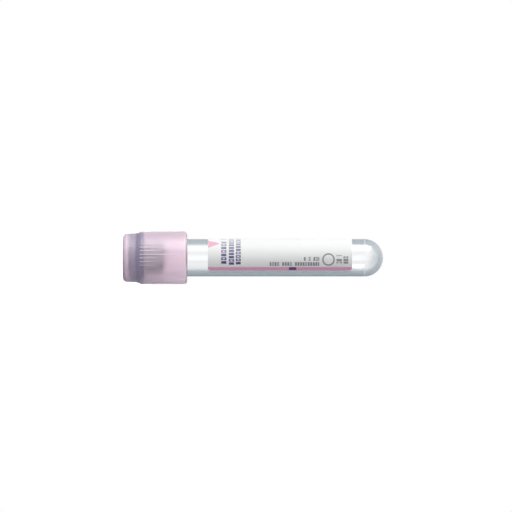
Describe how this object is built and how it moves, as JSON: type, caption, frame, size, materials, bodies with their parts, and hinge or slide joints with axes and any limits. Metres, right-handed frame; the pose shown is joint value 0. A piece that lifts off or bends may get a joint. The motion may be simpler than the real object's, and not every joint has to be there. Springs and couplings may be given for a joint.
{
  "type": "blood collection tube",
  "caption": "Clear round-bottomed tube with a wrapped paper label, closed by a rubber stopper inside a ribbed translucent shield that pulls off along the axis.",
  "frame": {"origin": "middle of the closure's flat face, which is also what the object stands on", "axes": "+Z along the tube's axis, from the closure to the round end; +X is close to the middle of the label's clear gap"},
  "size_m": [0.0166, 0.0166, 0.0817],
  "materials": {
    "clear_plastic": "gloss",
    "label_paper": "matte",
    "stopper_rubber": "satin",
    "pink_plastic": "satin"
  },
  "bodies": {
    "closure": {"shield": "pink_plastic", "stopper": "stopper_rubber"},
    "tube": {"tube": "clear_plastic", "label": "label_paper"}
  },
  "joints": [
    {"name": "tube_pull", "type": "slide", "parent": "closure", "child": "tube", "axis": [0, 0, 1], "range_m": [0, 0.02]}
  ]
}
